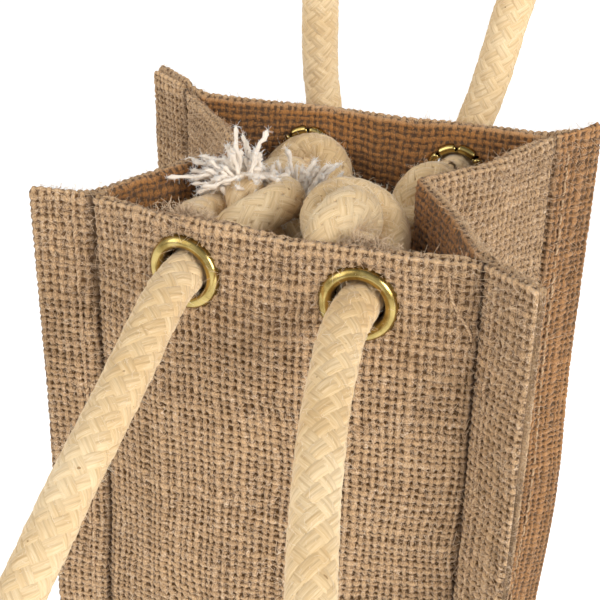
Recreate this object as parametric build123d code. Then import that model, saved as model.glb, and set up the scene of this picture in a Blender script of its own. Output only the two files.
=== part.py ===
from build123d import *
import math
import os

# A jute gift bag for one wine bottle: front and back panels, two side gussets that crease
# inwards at the mouth, and a base. Neighbouring panels are pinched into a stitched fin at each
# corner. Each rope handle passes through two brass eyelets and ends in an overhand knot inside.
#
# Frame: X along the bag's width, Y along its depth with the front at -Y, Z up.
# Origin: centre of the footprint, on the surface that the bag stands on.
# A wall's path runs anticlockwise round the bag seen from above, so its outside is on the right.

# Bag, millimetres
BAG_HEIGHT = 350.0
MOUTH_SHAPE_HEIGHT = 215.0   # above this height the walls hold the mouth's outline
CLOTH = 1.4                  # one layer of laminated jute
SEAM_GAP = 0.05              # between the two layers of a corner fin
HEM_DEPTH = 28.0             # cloth turned in at the mouth
HEM_STOP = 4.0               # the turned-in layer ends this far from a corner
BASE_THICKNESS = 1.6
BASE_CLEARANCE = 0.3

# Eyelets and rope
EYELET_HEIGHT = BAG_HEIGHT - 12.5
EYELET_OUTER_RADIUS = 8.0
EYELET_BARREL_RADIUS = 5.7
EYELET_WALL = 0.4
EYELET_DOME = 1.5
PETAL_RADIUS = 7.4
PETAL_COUNT = 8
ROPE_RADIUS = 4.6
FRONT_HINGE_Y = -49.0        # the rope bends here, just outside the front eyelets
BACK_HINGE_Y = 44.0

# Stitching thread
THREAD = 0.7
FIN_STITCH_SHARE = 0.3       # place of the stitch row across a fin, from its groove
BASE_STITCH_HEIGHT = 5.0

# Outline of the mouth: fin tips, corners (the grooves beside the fins) and side creases
FRONT_LEFT_TIP = (-51.0, -38.5)
FRONT_LEFT_CORNER = (-37.0, -36.0)
FRONT_RIGHT_CORNER = (47.5, -36.5)
FRONT_RIGHT_TIP = (59.5, -46.0)
BACK_RIGHT_CORNER = (46.5, 36.0)
BACK_RIGHT_TIP = (56.0, 46.0)
BACK_LEFT_CORNER = (-46.5, 32.0)
BACK_LEFT_TIP = (-59.5, 39.5)

FRONT_MOUTH = [
    FRONT_LEFT_TIP,
    FRONT_LEFT_CORNER,
    (-23.0, -39.2),
    (-4.0, -41.2),
    (14.0, -41.2),
    (33.0, -39.4),
    FRONT_RIGHT_CORNER,
    FRONT_RIGHT_TIP,
]
RIGHT_MOUTH = [
    FRONT_RIGHT_TIP,
    FRONT_RIGHT_CORNER,
    (37.0, -18.5),
    (24.5, -1.5),
    (36.0, 12.0),
    (42.2, 26.4),
    BACK_RIGHT_CORNER,
    BACK_RIGHT_TIP,
]
BACK_MOUTH = [
    BACK_RIGHT_TIP,
    BACK_RIGHT_CORNER,
    (33.5, 36.3),
    (14.5, 35.5),
    (-4.3, 34.5),
    (-23.3, 33.6),
    BACK_LEFT_CORNER,
    BACK_LEFT_TIP,
]
LEFT_MOUTH = [
    BACK_LEFT_TIP,
    BACK_LEFT_CORNER,
    (-33.0, 18.0),
    (-20.0, 1.5),
    (-28.0, -13.4),
    FRONT_LEFT_CORNER,
    FRONT_LEFT_TIP,
]

# Outline of the base: a rectangle with a fin at each corner
BASE_HALF_WIDTH = 44.0
BASE_HALF_DEPTH = 42.0
BASE_TIP_X = 56.0
BASE_TIP_Y = 51.5


def base_path(mouth, start_corner, end_corner, start_tip, end_tip):
    """The path at the base that matches a mouth path point by point."""
    inner_count = len(mouth) - 4
    points = [start_tip, start_corner]
    lengths = [math.dist(mouth[i], mouth[i + 1]) for i in range(1, len(mouth) - 2)]
    run = 0.0
    for i in range(inner_count):
        run += lengths[i]
        share = run / sum(lengths)
        x = start_corner[0] + (end_corner[0] - start_corner[0]) * share
        y = start_corner[1] + (end_corner[1] - start_corner[1]) * share
        points.append((x, y))
    return points + [end_corner, end_tip]


def corner(side_x, side_y):
    return (side_x * BASE_HALF_WIDTH, side_y * BASE_HALF_DEPTH)


def tip(side_x, side_y):
    return (side_x * BASE_TIP_X, side_y * BASE_TIP_Y)


WALLS = {
    "front_panel": (
        base_path(FRONT_MOUTH, corner(-1, -1), corner(1, -1), tip(-1, -1), tip(1, -1)),
        FRONT_MOUTH,
    ),
    "right_gusset": (
        base_path(RIGHT_MOUTH, corner(1, -1), corner(1, 1), tip(1, -1), tip(1, 1)),
        RIGHT_MOUTH,
    ),
    "back_panel": (
        base_path(BACK_MOUTH, corner(1, 1), corner(-1, 1), tip(1, 1), tip(-1, 1)),
        BACK_MOUTH,
    ),
    "left_gusset": (
        base_path(LEFT_MOUTH, corner(-1, 1), corner(-1, -1), tip(-1, 1), tip(-1, -1)),
        LEFT_MOUTH,
    ),
}

# Eyelets: the wall, and the index of the flat stretch of its mouth path that holds the eyelet
EYELETS = {
    "front_left": ("front_panel", 2, FRONT_HINGE_Y),
    "front_right": ("front_panel", 4, FRONT_HINGE_Y),
    "back_left": ("back_panel", 4, BACK_HINGE_Y),
    "back_right": ("back_panel", 2, BACK_HINGE_Y),
}

# Knots lie on the inside, above and behind their eyelets
KNOT_LONG_RADIUS = 12.5
NECK_RADIUS = ROPE_RADIUS - 0.1   # the rope is pulled a little thinner into its knot
THROAT_DEPTH = 2 * CLOTH + 5.0    # the rope turns towards the knot this far behind the cloth
KNOT_RADIUS = 9.2
KNOT_CENTRES = {
    "front_left": (-7.7, -24.4, 347.4),
    "front_right": (18.8, -27.0, 350.0),
    "back_left": (-9.0, 19.0, 345.0),
    "back_right": (22.0, 17.0, 342.0),
}
# Tufts of loose cotton at the rope ends: base radius, top radius, height, place beside the knot
TUFTS = {
    "front_left": (3.5, 8.0, 9.0, (-3.0, 2.0)),
    "front_right": (3.0, 5.5, 7.0, (-8.0, 5.0)),
    "back_left": (3.0, 4.5, 5.0, (3.0, -2.0)),
    "back_right": (3.0, 4.5, 5.0, (4.0, 3.0)),
}
TUFT_GAP = 0.1

# Free length of each handle, from the left eyelet's bend to the right one's
FRONT_HANDLE_ROUTE = [
    (-13.6, -53.7, 335.4),
    (-13.1, -70.6, 327.1),
    (-14.4, -88.7, 316.4),
    (-15.6, -106.6, 303.6),
    (-18.6, -123.4, 289.4),
    (-20.0, -138.9, 273.8),
    (-8.6, -150.9, 259.6),
    (12.0, -155.3, 254.4),
    (33.2, -151.2, 259.2),
    (45.4, -138.9, 273.8),
    (43.6, -122.6, 290.1),
    (38.0, -106.2, 304.0),
    (32.0, -89.5, 315.9),
    (27.0, -71.5, 326.6),
    (23.9, -53.7, 335.4),
]
BACK_HANDLE_ROUTE = [
    (-14.1, 43.9, 343.4),
    (-15.2, 42.4, 359.5),
    (-14.0, 39.5, 379.5),
    (-16.0, 37.2, 402.0),
    (-19.0, 36.2, 424.5),
    (-19.8, 36.6, 447.0),
    (-7.5, 40.0, 465.0),
    (12.5, 45.5, 472.0),
    (32.5, 51.0, 465.0),
    (44.8, 54.6, 447.5),
    (44.5, 55.4, 424.0),
    (38.5, 54.2, 401.0),
    (32.2, 50.0, 379.5),
    (29.0, 45.2, 359.0),
    (25.2, 44.2, 343.4),
]
ARC_SHARE = 0.45             # part of the shorter run that each arc takes up


def side_step(path, distance):
    """The path's points moved to its right by distance, mitred where it turns."""
    moved = []
    for i, point in enumerate(path):
        normals = []
        for a, b in ((i - 1, i), (i, i + 1)):
            if a < 0 or b >= len(path):
                continue
            length = math.dist(path[a], path[b])
            dx = (path[b][0] - path[a][0]) / length
            dy = (path[b][1] - path[a][1]) / length
            normals.append((dy, -dx))
        nx = sum(n[0] for n in normals) / len(normals)
        ny = sum(n[1] for n in normals) / len(normals)
        scale = distance / (nx * nx + ny * ny)
        moved.append((point[0] + nx * scale, point[1] + ny * scale))
    return moved


def towards(start, end, distance):
    """The point at distance from start on the way to end."""
    share = distance / math.dist(start, end)
    return (start[0] + (end[0] - start[0]) * share, start[1] + (end[1] - start[1]) * share)


def path_at(base, mouth, z):
    """A wall's path at height z."""
    share = min(z / MOUTH_SHAPE_HEIGHT, 1.0)
    return [(b[0] + (m[0] - b[0]) * share, b[1] + (m[1] - b[1]) * share)
            for b, m in zip(base, mouth)]


def section(points, z):
    return make_face(Polyline(*[(x, y, z) for x, y in points], close=True))


def cloth_section(path, z):
    outside = side_step(path, SEAM_GAP + CLOTH)
    inside = side_step(path, SEAM_GAP)
    return section(outside + inside[::-1], z)


def hem_section(path, z):
    """One layer in the fins, and a second, turned-in layer between the corners."""
    hem = path[1:-1]
    hem = [towards(hem[0], hem[1], HEM_STOP)] + hem[1:-1] + [towards(hem[-1], hem[-2], HEM_STOP)]
    outside = side_step(path, SEAM_GAP + CLOTH)
    near = side_step(path, SEAM_GAP)
    hem_near = side_step(hem, SEAM_GAP)
    hem_inside = side_step(hem, SEAM_GAP - CLOTH)
    inner_line = near[:2] + [hem_near[0]] + hem_inside + [hem_near[-1]] + near[-2:]
    return section(outside + inner_line[::-1], z)


def make_wall(base, mouth):
    lower = loft([cloth_section(base, 0), cloth_section(mouth, MOUTH_SHAPE_HEIGHT)], ruled=True)
    hem_start = BAG_HEIGHT - HEM_DEPTH
    middle = extrude(cloth_section(mouth, MOUTH_SHAPE_HEIGHT), hem_start - MOUTH_SHAPE_HEIGHT,
                     dir=(0, 0, 1))
    hem = extrude(hem_section(mouth, hem_start), HEM_DEPTH, dir=(0, 0, 1))
    return lower + middle + hem


def eyelet_plane(wall, stretch):
    """Plane on the cloth's outer face at an eyelet's centre, with its normal pointing out."""
    mouth = WALLS[wall][1]
    outer = side_step(mouth, SEAM_GAP + CLOTH)
    a = outer[stretch]
    b = outer[stretch + 1]
    out = Vector(b[1] - a[1], a[0] - b[0], 0).normalized()
    along = Vector(b[0] - a[0], b[1] - a[1], 0).normalized()
    centre = ((a[0] + b[0]) / 2, (a[1] + b[1]) / 2, EYELET_HEIGHT)
    return Plane(origin=centre, x_dir=along, z_dir=out)


def make_eyelet(plane):
    """One-piece eyelet: a domed flange outside, a barrel, and petals rolled back inside."""
    bore = EYELET_BARREL_RADIUS - EYELET_WALL
    back = -2 * CLOTH - 0.05
    gap = 0.02
    flange = make_face(
        Polyline((bore, 0, gap), (EYELET_OUTER_RADIUS, 0, gap))
        + Spline(
            (EYELET_OUTER_RADIUS, 0, gap),
            ((EYELET_OUTER_RADIUS + bore) / 2 + 0.3, 0, EYELET_DOME),
            (bore, 0, 0.4),
            tangents=((0, 0, 1), (-0.3, 0, -1)),
        )
        + Polyline((bore, 0, 0.4), (bore, 0, gap))
    )
    barrel = make_face(Polyline(
        (bore, 0, gap), (EYELET_BARREL_RADIUS, 0, gap), (EYELET_BARREL_RADIUS, 0, back - 0.5),
        (bore, 0, back - 0.5), close=True))
    petals = make_face(Polyline(
        (bore, 0, back - 0.5), (EYELET_BARREL_RADIUS, 0, back - 0.5), (PETAL_RADIUS - 0.5, 0, back),
        (PETAL_RADIUS, 0, back), (PETAL_RADIUS - 0.3, 0, back - 0.8), (bore + 0.5, 0, back - 1.3),
        close=True))
    ring = revolve(petals, Axis.Z)
    slit = Pos(EYELET_BARREL_RADIUS + 1.6, 0, back - 0.5) * Box(3.0, 0.5, 3.0)
    for i in range(PETAL_COUNT):
        ring -= Rot(0, 0, i * 360 / PETAL_COUNT) * slit
    return plane * (revolve(flange, Axis.Z) + revolve(barrel, Axis.Z) + ring)


def bar(start, end, radius):
    """A round bar between two points."""
    direction = end - start
    plane = Plane(origin=start, z_dir=direction)
    return plane * Cylinder(radius, direction.length, align=(Align.CENTER, Align.CENTER, Align.MIN))


def capsule(start, end, radius):
    """A round bar with a hemisphere round each of its end points."""
    length = (end - start).length
    outline = make_face(
        Line((0, 0, length + radius), (0, 0, -radius))
        + ThreePointArc(
            (0, 0, -radius),
            (radius * math.sin(math.pi / 4), 0, -radius * math.cos(math.pi / 4)),
            (radius, 0, 0),
        )
        + Line((radius, 0, 0), (radius, 0, length))
        + ThreePointArc(
            (radius, 0, length),
            (radius * math.sin(math.pi / 4), 0, length + radius * math.cos(math.pi / 4)),
            (0, 0, length + radius),
        )
    )
    return Plane(origin=start, z_dir=end - start) * revolve(outline, Axis.Z)


def make_knot(place, plane, hinge):
    """The rope's end: rounded where it bends, then the stretch in the eyelet, and the knot."""
    centre = Vector(*KNOT_CENTRES[place])
    throat = plane.origin - plane.z_dir * THROAT_DEPTH
    reach = Vector(KNOT_LONG_RADIUS - KNOT_RADIUS, 0, 0)
    rope = capsule(hinge, throat, ROPE_RADIUS)
    neck = capsule(throat, centre, NECK_RADIUS)
    return rope + neck + capsule(centre - reach, centre + reach, KNOT_RADIUS)


def make_tuft(place):
    low, high, height, (dx, dy) = TUFTS[place]
    x, y, z = KNOT_CENTRES[place]
    top = z + KNOT_RADIUS + TUFT_GAP
    return Pos(x + dx, y + dy, top) * Cone(
        low, high, height, align=(Align.CENTER, Align.CENTER, Align.MIN))


def make_handle(name, route):
    """A rope of straight runs joined by tangent arcs, as large as the runs allow."""
    radii = []
    for a, b, c in zip(route[:-2], route[1:-1], route[2:]):
        before = Vector(*b) - Vector(*a)
        after = Vector(*c) - Vector(*b)
        half_turn = math.radians(before.get_angle(after)) / 2
        shorter = min(before.length, after.length)
        radii.append(ARC_SHARE * shorter / math.tan(half_turn))
    path = FilletPolyline(*route, radius=radii)
    start = Plane(origin=path @ 0, z_dir=path % 0)
    rope = sweep(start * Circle(ROPE_RADIUS), path=path)
    expected = math.pi * ROPE_RADIUS ** 2 * path.length
    print(name, "length", round(path.length, 1), "mm, volume / (section x length)",
          round(rope.volume / expected, 4), "radii", [round(r) for r in radii])
    return rope


def stitch_row(base, mouth, tip_index, corner_index, offset, width):
    """A thread up a fin, on one of its two faces, as a thin bar that follows the fin."""
    faces = []
    for z in (2.0, MOUTH_SHAPE_HEIGHT, BAG_HEIGHT - 2.0):
        path = path_at(base, mouth, z)
        groove = path[corner_index]
        length = math.dist(groove, path[tip_index])
        near = towards(groove, path[tip_index], length * FIN_STITCH_SHARE)
        far = towards(groove, path[tip_index], length * FIN_STITCH_SHARE + width)
        line = [far, near] if tip_index < corner_index else [near, far]
        inner = side_step(line, offset)
        outer = side_step(line, offset + width)
        faces.append(section(outer + inner[::-1], z))
    return loft(faces, ruled=True)


def make_fin_stitching(first_wall, second_wall):
    """Top thread on the first wall's end fin and bobbin thread on the second wall's start fin."""
    lift = SEAM_GAP + CLOTH + 0.02
    base, mouth = WALLS[first_wall]
    top = stitch_row(base, mouth, len(mouth) - 1, len(mouth) - 2, lift, THREAD)
    base, mouth = WALLS[second_wall]
    bottom = stitch_row(base, mouth, 0, 1, lift, THREAD)
    return Compound(children=[top, bottom])


def make_base_stitching():
    """Four threads round the foot of the walls, where the base's seam allowance is caught."""
    rows = []
    for base, mouth in WALLS.values():
        faces = []
        for z in (BASE_STITCH_HEIGHT, BASE_STITCH_HEIGHT + THREAD):
            path = path_at(base, mouth, z)[1:-1]
            path = [towards(path[0], path[1], HEM_STOP)] + path[1:-1] + [
                towards(path[-1], path[-2], HEM_STOP)]
            lift = SEAM_GAP + CLOTH + 0.02
            faces.append(section(side_step(path, lift + THREAD) + side_step(path, lift)[::-1], z))
        rows.append(loft(faces, ruled=True))
    return Compound(children=rows)


def make_base():
    return Box(
        2 * (BASE_HALF_WIDTH - BASE_CLEARANCE),
        2 * (BASE_HALF_DEPTH - BASE_CLEARANCE),
        BASE_THICKNESS,
        align=(Align.CENTER, Align.CENTER, Align.MIN),
    )


parts = {"base_panel": make_base()}
for wall_name, (base_line, mouth_line) in WALLS.items():
    parts[wall_name] = make_wall(base_line, mouth_line)

for place_name, (wall_name, stretch_index, hinge_y) in EYELETS.items():
    eyelet_place = eyelet_plane(wall_name, stretch_index)
    hole = bar(
        eyelet_place.origin + eyelet_place.z_dir * CLOTH,
        eyelet_place.origin - eyelet_place.z_dir * 4 * CLOTH,
        EYELET_BARREL_RADIUS + 0.02,
    )
    parts[wall_name] -= hole
    parts[place_name + "_eyelet"] = make_eyelet(eyelet_place)
    hinge_point = Vector(eyelet_place.origin.X, hinge_y, EYELET_HEIGHT)
    parts[place_name + "_knot"] = make_knot(place_name, eyelet_place, hinge_point)
    parts[place_name + "_frayed_end"] = make_tuft(place_name)

parts["front_handle"] = make_handle("front_handle", FRONT_HANDLE_ROUTE)
parts["back_handle"] = make_handle("back_handle", BACK_HANDLE_ROUTE)
parts["front_left_stitching"] = make_fin_stitching("left_gusset", "front_panel")
parts["front_right_stitching"] = make_fin_stitching("front_panel", "right_gusset")
parts["back_right_stitching"] = make_fin_stitching("right_gusset", "back_panel")
parts["back_left_stitching"] = make_fin_stitching("back_panel", "left_gusset")
parts["base_stitching"] = make_base_stitching()

os.makedirs("parts", exist_ok=True)
for node, shape in parts.items():
    export_step(shape, "parts/" + node + ".step")
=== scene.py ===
import math

import bpy
import numpy as np
from mathutils import Matrix, Vector


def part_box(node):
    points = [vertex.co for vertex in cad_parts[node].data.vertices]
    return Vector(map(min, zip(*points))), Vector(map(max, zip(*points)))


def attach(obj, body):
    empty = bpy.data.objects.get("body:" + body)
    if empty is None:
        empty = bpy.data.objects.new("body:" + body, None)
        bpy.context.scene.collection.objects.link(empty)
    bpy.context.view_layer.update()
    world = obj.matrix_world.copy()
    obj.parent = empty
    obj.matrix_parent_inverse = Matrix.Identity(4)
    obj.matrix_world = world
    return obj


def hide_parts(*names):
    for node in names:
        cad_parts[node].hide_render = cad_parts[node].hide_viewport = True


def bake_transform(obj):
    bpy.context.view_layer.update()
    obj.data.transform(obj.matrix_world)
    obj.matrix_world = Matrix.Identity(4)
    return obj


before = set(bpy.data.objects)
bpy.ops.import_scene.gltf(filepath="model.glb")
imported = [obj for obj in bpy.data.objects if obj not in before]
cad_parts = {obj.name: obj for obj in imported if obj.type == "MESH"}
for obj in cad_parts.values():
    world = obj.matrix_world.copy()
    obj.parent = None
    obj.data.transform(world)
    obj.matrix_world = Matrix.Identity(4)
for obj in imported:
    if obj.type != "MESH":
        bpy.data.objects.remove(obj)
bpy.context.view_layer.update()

# A jute gift bag for one wine bottle, with braided cotton rope handles, in metres.
# The frame gives the height, the eyelets, the hinges and the boxes of the parts.

MM = 0.001
SEED = 7


def box_centre(node):
    low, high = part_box(node)
    return (low + high) / 2


def mm(points):
    return np.array(points, float) * MM


def put_in_scene(name, data):
    made = bpy.data.objects.new(name, data)
    bpy.context.scene.collection.objects.link(made)
    return made


def unit(vectors):
    """The same directions, each one long."""
    return vectors / np.linalg.norm(vectors, axis=-1, keepdims=True)


def turned(side, other, angle):
    """Directions at some angles from side towards other."""
    return side * np.cos(angle)[..., None] + other * np.sin(angle)[..., None]


def eased(share):
    """A share from 0 to 1 that starts and stops softly."""
    return share * share * (3 - 2 * share)


def line_at(wanted, places, line):
    """The points of a line at the wanted places, where each of its points has a place."""
    return np.stack([np.interp(wanted, places, values) for values in line.T], -1)


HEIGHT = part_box("front_panel")[1].z
HEM_DEPTH = 28 * MM
EYELET_HEIGHT = box_centre("front_left_eyelet").z
PLACES = ("front_left", "front_right", "back_left", "back_right")

# ---- Camera ----
CAMERA_PLACE = Vector((0.0865, -0.2467, 0.4501))
CAMERA_AZIMUTH = math.radians(20.07)     # it looks this far to the left of +Y
CAMERA_PITCH = math.radians(27.59)       # and this far down
CAMERA_ROLL = math.radians(1.07)
LENS = 74.1                              # millimetres, on a sensor 36 mm wide


def make_camera():
    ahead = Vector((-math.sin(CAMERA_AZIMUTH), math.cos(CAMERA_AZIMUTH), 0))
    right = Vector((math.cos(CAMERA_AZIMUTH), math.sin(CAMERA_AZIMUTH), 0))
    up = Vector((0, 0, 1))
    forward = ahead * math.cos(CAMERA_PITCH) - up * math.sin(CAMERA_PITCH)
    top = ahead * math.sin(CAMERA_PITCH) + up * math.cos(CAMERA_PITCH)
    x_axis = right * math.cos(CAMERA_ROLL) + top * math.sin(CAMERA_ROLL)
    y_axis = top * math.cos(CAMERA_ROLL) - right * math.sin(CAMERA_ROLL)
    turn = Matrix((x_axis, y_axis, -forward)).transposed()
    data = bpy.data.cameras.new("camera")
    data.lens = LENS
    data.sensor_width = 36
    data.clip_start = 0.01
    camera = put_in_scene("camera", data)
    camera.matrix_world = Matrix.Translation(CAMERA_PLACE) @ turn.to_4x4()
    bpy.context.scene.camera = camera


make_camera()

# ---- Routes of the two free ropes: the loops, and the stretch in the eyelets ----
LINE_STEP = 0.4 * MM         # between the points of a rope's line
FRONT_ROUTE = mm([
    (-13.65, -35.5, 337.4), (-13.65, -45.5, 337.6),
    (-13.6, -53.7, 335.4), (-13.1, -70.6, 327.1), (-14.4, -88.7, 316.4), (-15.6, -106.6, 303.6),
    (-18.6, -123.4, 289.4), (-20.0, -138.9, 273.8), (-8.6, -150.9, 259.6), (12.0, -155.3, 254.4),
    (33.2, -151.2, 259.2), (45.4, -138.9, 273.8), (43.6, -122.6, 290.1), (38.0, -106.2, 304.0),
    (32.0, -89.5, 315.9), (27.0, -71.5, 326.6), (23.9, -53.7, 335.4),
    (23.65, -45.5, 337.6), (23.65, -35.5, 337.4),
])
BACK_ROUTE = mm([
    (-13.9, 27.5, 337.6), (-13.9, 37.0, 337.2), (-13.9, 44.6, 337.6),
    (-14.1, 44.6, 345.6), (-15.2, 42.4, 359.5), (-14.0, 39.5, 379.5), (-16.0, 37.2, 402.0),
    (-19.0, 36.2, 424.5), (-19.8, 36.6, 447.0), (-7.5, 40.0, 465.0), (12.5, 45.5, 472.0),
    (32.5, 51.0, 465.0), (44.8, 54.6, 447.5), (44.5, 55.4, 424.0), (38.5, 54.2, 401.0),
    (32.2, 50.0, 379.5), (29.0, 45.2, 359.0), (25.2, 44.6, 345.6),
    (24.0, 44.6, 337.6), (24.0, 38.5, 337.2), (24.0, 29.0, 337.6),
])


def spline_points(name, control):
    """Points along the smooth NURBS line of a route."""
    curve = bpy.data.curves.new(name, "CURVE")
    curve.dimensions = "3D"
    spline = curve.splines.new("NURBS")
    spline.points.add(len(control) - 1)
    for point, place in zip(spline.points, control):
        point.co = (*place, 1)
    spline.order_u = 3
    spline.use_endpoint_u = True
    spline.resolution_u = 24
    holder = put_in_scene(name, curve)
    mesh = bpy.data.meshes.new_from_object(holder)
    points = np.array([v.co for v in mesh.vertices])
    bpy.data.objects.remove(holder)
    return points


def evenly(points, step):
    """The same line with its points a step apart."""
    lengths = np.linalg.norm(np.diff(points, axis=0), axis=1)
    place = np.concatenate([[0], np.cumsum(lengths)])
    count = max(2, round(place[-1] / step) + 1)
    wanted = np.linspace(0, place[-1], count)
    return line_at(wanted, place, points)


def line_length(points):
    return float(np.linalg.norm(np.diff(points, axis=0), axis=1).sum())


# ---- Mesh helpers ----
class Builder:
    """Collects vertices, their three numbers each and faces, and makes one object of them."""

    def __init__(self):
        self.points, self.faces, self.notes, self.count = [], [], [], 0

    def add(self, points, faces, notes):
        points = np.asarray(points, float).reshape(-1, 3)
        self.points.append(points)
        self.notes.append(np.asarray(notes, float).reshape(-1, 3))
        self.faces += [f + self.count for f in faces]
        self.count += len(points)

    def build(self, name, material, slot):
        points = np.concatenate(self.points)
        notes = np.concatenate(self.notes)
        corners = np.concatenate([f.ravel() for f in self.faces]).astype(np.int32)
        sizes = np.concatenate([np.full(len(f), f.shape[1]) for f in self.faces]).astype(np.int32)
        starts = np.concatenate([[0], np.cumsum(sizes)[:-1]]).astype(np.int32)
        mesh = bpy.data.meshes.new(name)
        mesh.vertices.add(len(points))
        mesh.vertices.foreach_set("co", points.ravel())
        mesh.loops.add(len(corners))
        mesh.loops.foreach_set("vertex_index", corners)
        mesh.polygons.add(len(sizes))
        mesh.polygons.foreach_set("loop_start", starts)
        mesh.polygons.foreach_set("use_smooth", np.full(len(sizes), True))
        mesh.update(calc_edges=True)
        mesh.validate()
        attribute = mesh.attributes.new("detail", "FLOAT_VECTOR", "POINT")
        attribute.data.foreach_set("vector", notes.ravel())
        mesh.materials.append(material)
        piece = put_in_scene(name, mesh)
        return piece


def build_on_bag(builder, name, material, slot, node=None):
    """The builder's object, which rides on the bag and may take the place of a node."""
    piece = builder.build(name, material, slot)
    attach(piece, "bag")
    if node:
        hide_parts(node)
    return piece


def three_notes(shape, first, second, third):
    """Three numbers for each point, for the shader's detail."""
    notes = np.empty(shape)
    notes[..., 0], notes[..., 1], notes[..., 2] = first, second, third
    return notes


def grid_faces(rows, columns, wrap=False):
    """Quads of a grid of rows by columns of points; wrap joins the last column to the first."""
    index = np.arange(rows * columns).reshape(rows, columns)
    if wrap:
        index = np.concatenate([index, index[:, :1]], axis=1)
    quads = np.stack([index[:-1, :-1], index[:-1, 1:], index[1:, 1:], index[1:, :-1]], axis=-1)
    return quads.reshape(-1, 4)


def frames_along(points):
    """Unit tangents and two side directions that turn as little as they can along a line."""
    tangents = unit(np.gradient(points, axis=0))
    side = np.cross(tangents[0], [0.31, 0.2, 0.93])
    sides = []
    for tangent in tangents:
        side = unit(side - tangent * (side @ tangent))
        sides.append(side)
    sides = np.array(sides)
    return tangents, sides, np.cross(tangents, sides)


def tube(points, radii, corners):
    """Points and faces of an open tube along a line."""
    _, side, other = frames_along(points)
    radii = np.broadcast_to(radii, len(points))
    angle = np.arange(corners) / corners * 2 * math.pi
    ring = turned(side[:, None], other[:, None], angle[None])
    return points[:, None] + ring * radii[:, None, None], grid_faces(len(points), corners, True)


def add_tube(builder, line, radii, corners, along, own):
    """A tube whose points hold how far along and around they are, and its own number."""
    points, faces = tube(line, radii, corners)
    around = np.abs(np.arange(corners) / (corners / 2) - 1)
    builder.add(points, [faces], three_notes(points.shape, along[:, None], around[None], own))


def noise(shape, cells, rng, spread):
    """Smooth random values on a grid of that shape, with about that many cells each way."""
    values = rng.normal(0, spread, (cells[0] + 3, cells[1] + 3))
    for axis, (size, cell) in enumerate(zip(shape, cells)):
        place = np.linspace(0, cell, size)
        low = np.minimum(place.astype(int), cell)
        share = eased(place - low)
        if axis == 0:
            values = values[low] * (1 - share)[:, None] + values[low + 1] * share[:, None]
        else:
            values = values[:, low] * (1 - share) + values[:, low + 1] * share
    return values


# ---- Shader helpers ----
class Shade:
    """A material's nodes, written as short expressions."""

    def __init__(self, name):
        self.material = bpy.data.materials.new(name)
        self.material.use_nodes = True
        self.tree = self.material.node_tree
        self.shader = self.tree.nodes["Principled BSDF"]

    def put(self, socket, value):
        if isinstance(value, bpy.types.NodeSocket):
            self.tree.links.new(value, socket)
        elif value is not None:
            socket.default_value = value

    def node(self, kind, *values, **settings):
        """A new node, with values or links for its first inputs; None leaves one as it is."""
        made = self.tree.nodes.new(kind)
        for key, value in settings.items():
            setattr(made, key, value)
        for socket, value in zip(made.inputs, values):
            self.put(socket, value)
        return made

    def math(self, operation, a, b=None):
        return self.node("ShaderNodeMath", a, b, operation=operation).outputs[0]

    def add(self, a, b):
        return self.math("ADD", a, b)

    def sub(self, a, b):
        return self.math("SUBTRACT", a, b)

    def mul(self, a, b):
        return self.math("MULTIPLY", a, b)

    def ramp(self, value, low, high, start=0.0, end=1.0):
        return self.node("ShaderNodeMapRange", value, low, high, start, end,
                         interpolation_type="SMOOTHSTEP").outputs[0]

    def mix(self, share, a, b):
        made = self.node("ShaderNodeMix", share, data_type="RGBA")
        self.put(made.inputs[6], a)
        self.put(made.inputs[7], b)
        return made.outputs[2]

    def mix_value(self, share, a, b):
        return self.node("ShaderNodeMix", share, None, a, b, data_type="FLOAT").outputs[0]

    def detail(self):
        """The three numbers that the mesh holds for each point."""
        read = self.node("ShaderNodeAttribute", attribute_name="detail")
        return self.node("ShaderNodeSeparateXYZ", read.outputs["Vector"]).outputs

    def place(self):
        return self.node("ShaderNodeTexCoord").outputs["Object"]

    def up(self):
        return self.node("ShaderNodeSeparateXYZ", self.place()).outputs[2]

    def scaled(self, scale, shift=(0.0, 0.0, 0.0)):
        """The place, stretched so that noise makes streaks, or shifted so that it is another."""
        return self.node("ShaderNodeMapping", self.place(), shift, None, scale).outputs[0]

    def shifted(self, shift):
        return self.scaled((1.0, 1.0, 1.0), shift)

    def aside(self):
        return self.shifted((3.1, 5.7, 1.3))

    def vector(self, x, y, z):
        return self.node("ShaderNodeCombineXYZ", x, y, z).outputs[0]

    def noise(self, vector, scale, detail=2.0, roughness=0.5):
        made = self.node("ShaderNodeTexNoise", vector)
        self.put(made.inputs["Scale"], scale)
        self.put(made.inputs["Detail"], detail)
        self.put(made.inputs["Roughness"], roughness)
        return made.outputs[0]

    def random(self, vector):
        return self.node("ShaderNodeTexWhiteNoise", vector, noise_dimensions="3D").outputs[0]

    def bump(self, height, distance, strength):
        made = self.node("ShaderNodeBump")
        self.put(made.inputs["Height"], height)
        self.put(made.inputs["Distance"], distance)
        self.put(made.inputs["Strength"], strength)
        self.put(self.shader.inputs["Normal"], made.outputs[0])

    def finish(self, colour, roughness, **constants):
        self.put(self.shader.inputs["Base Color"], colour)
        self.put(self.shader.inputs["Roughness"], roughness)
        for name, value in constants.items():
            self.shader.inputs[name.replace("_", " ")].default_value = value
        return self.material


def rgb(red, green, blue):
    """A colour from its display values, 0 to 255."""
    parts = []
    for value in (red / 255, green / 255, blue / 255):
        parts.append(value / 12.92 if value <= 0.04045 else ((value + 0.055) / 1.055) ** 2.4)
    return (*parts, 1.0)


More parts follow.
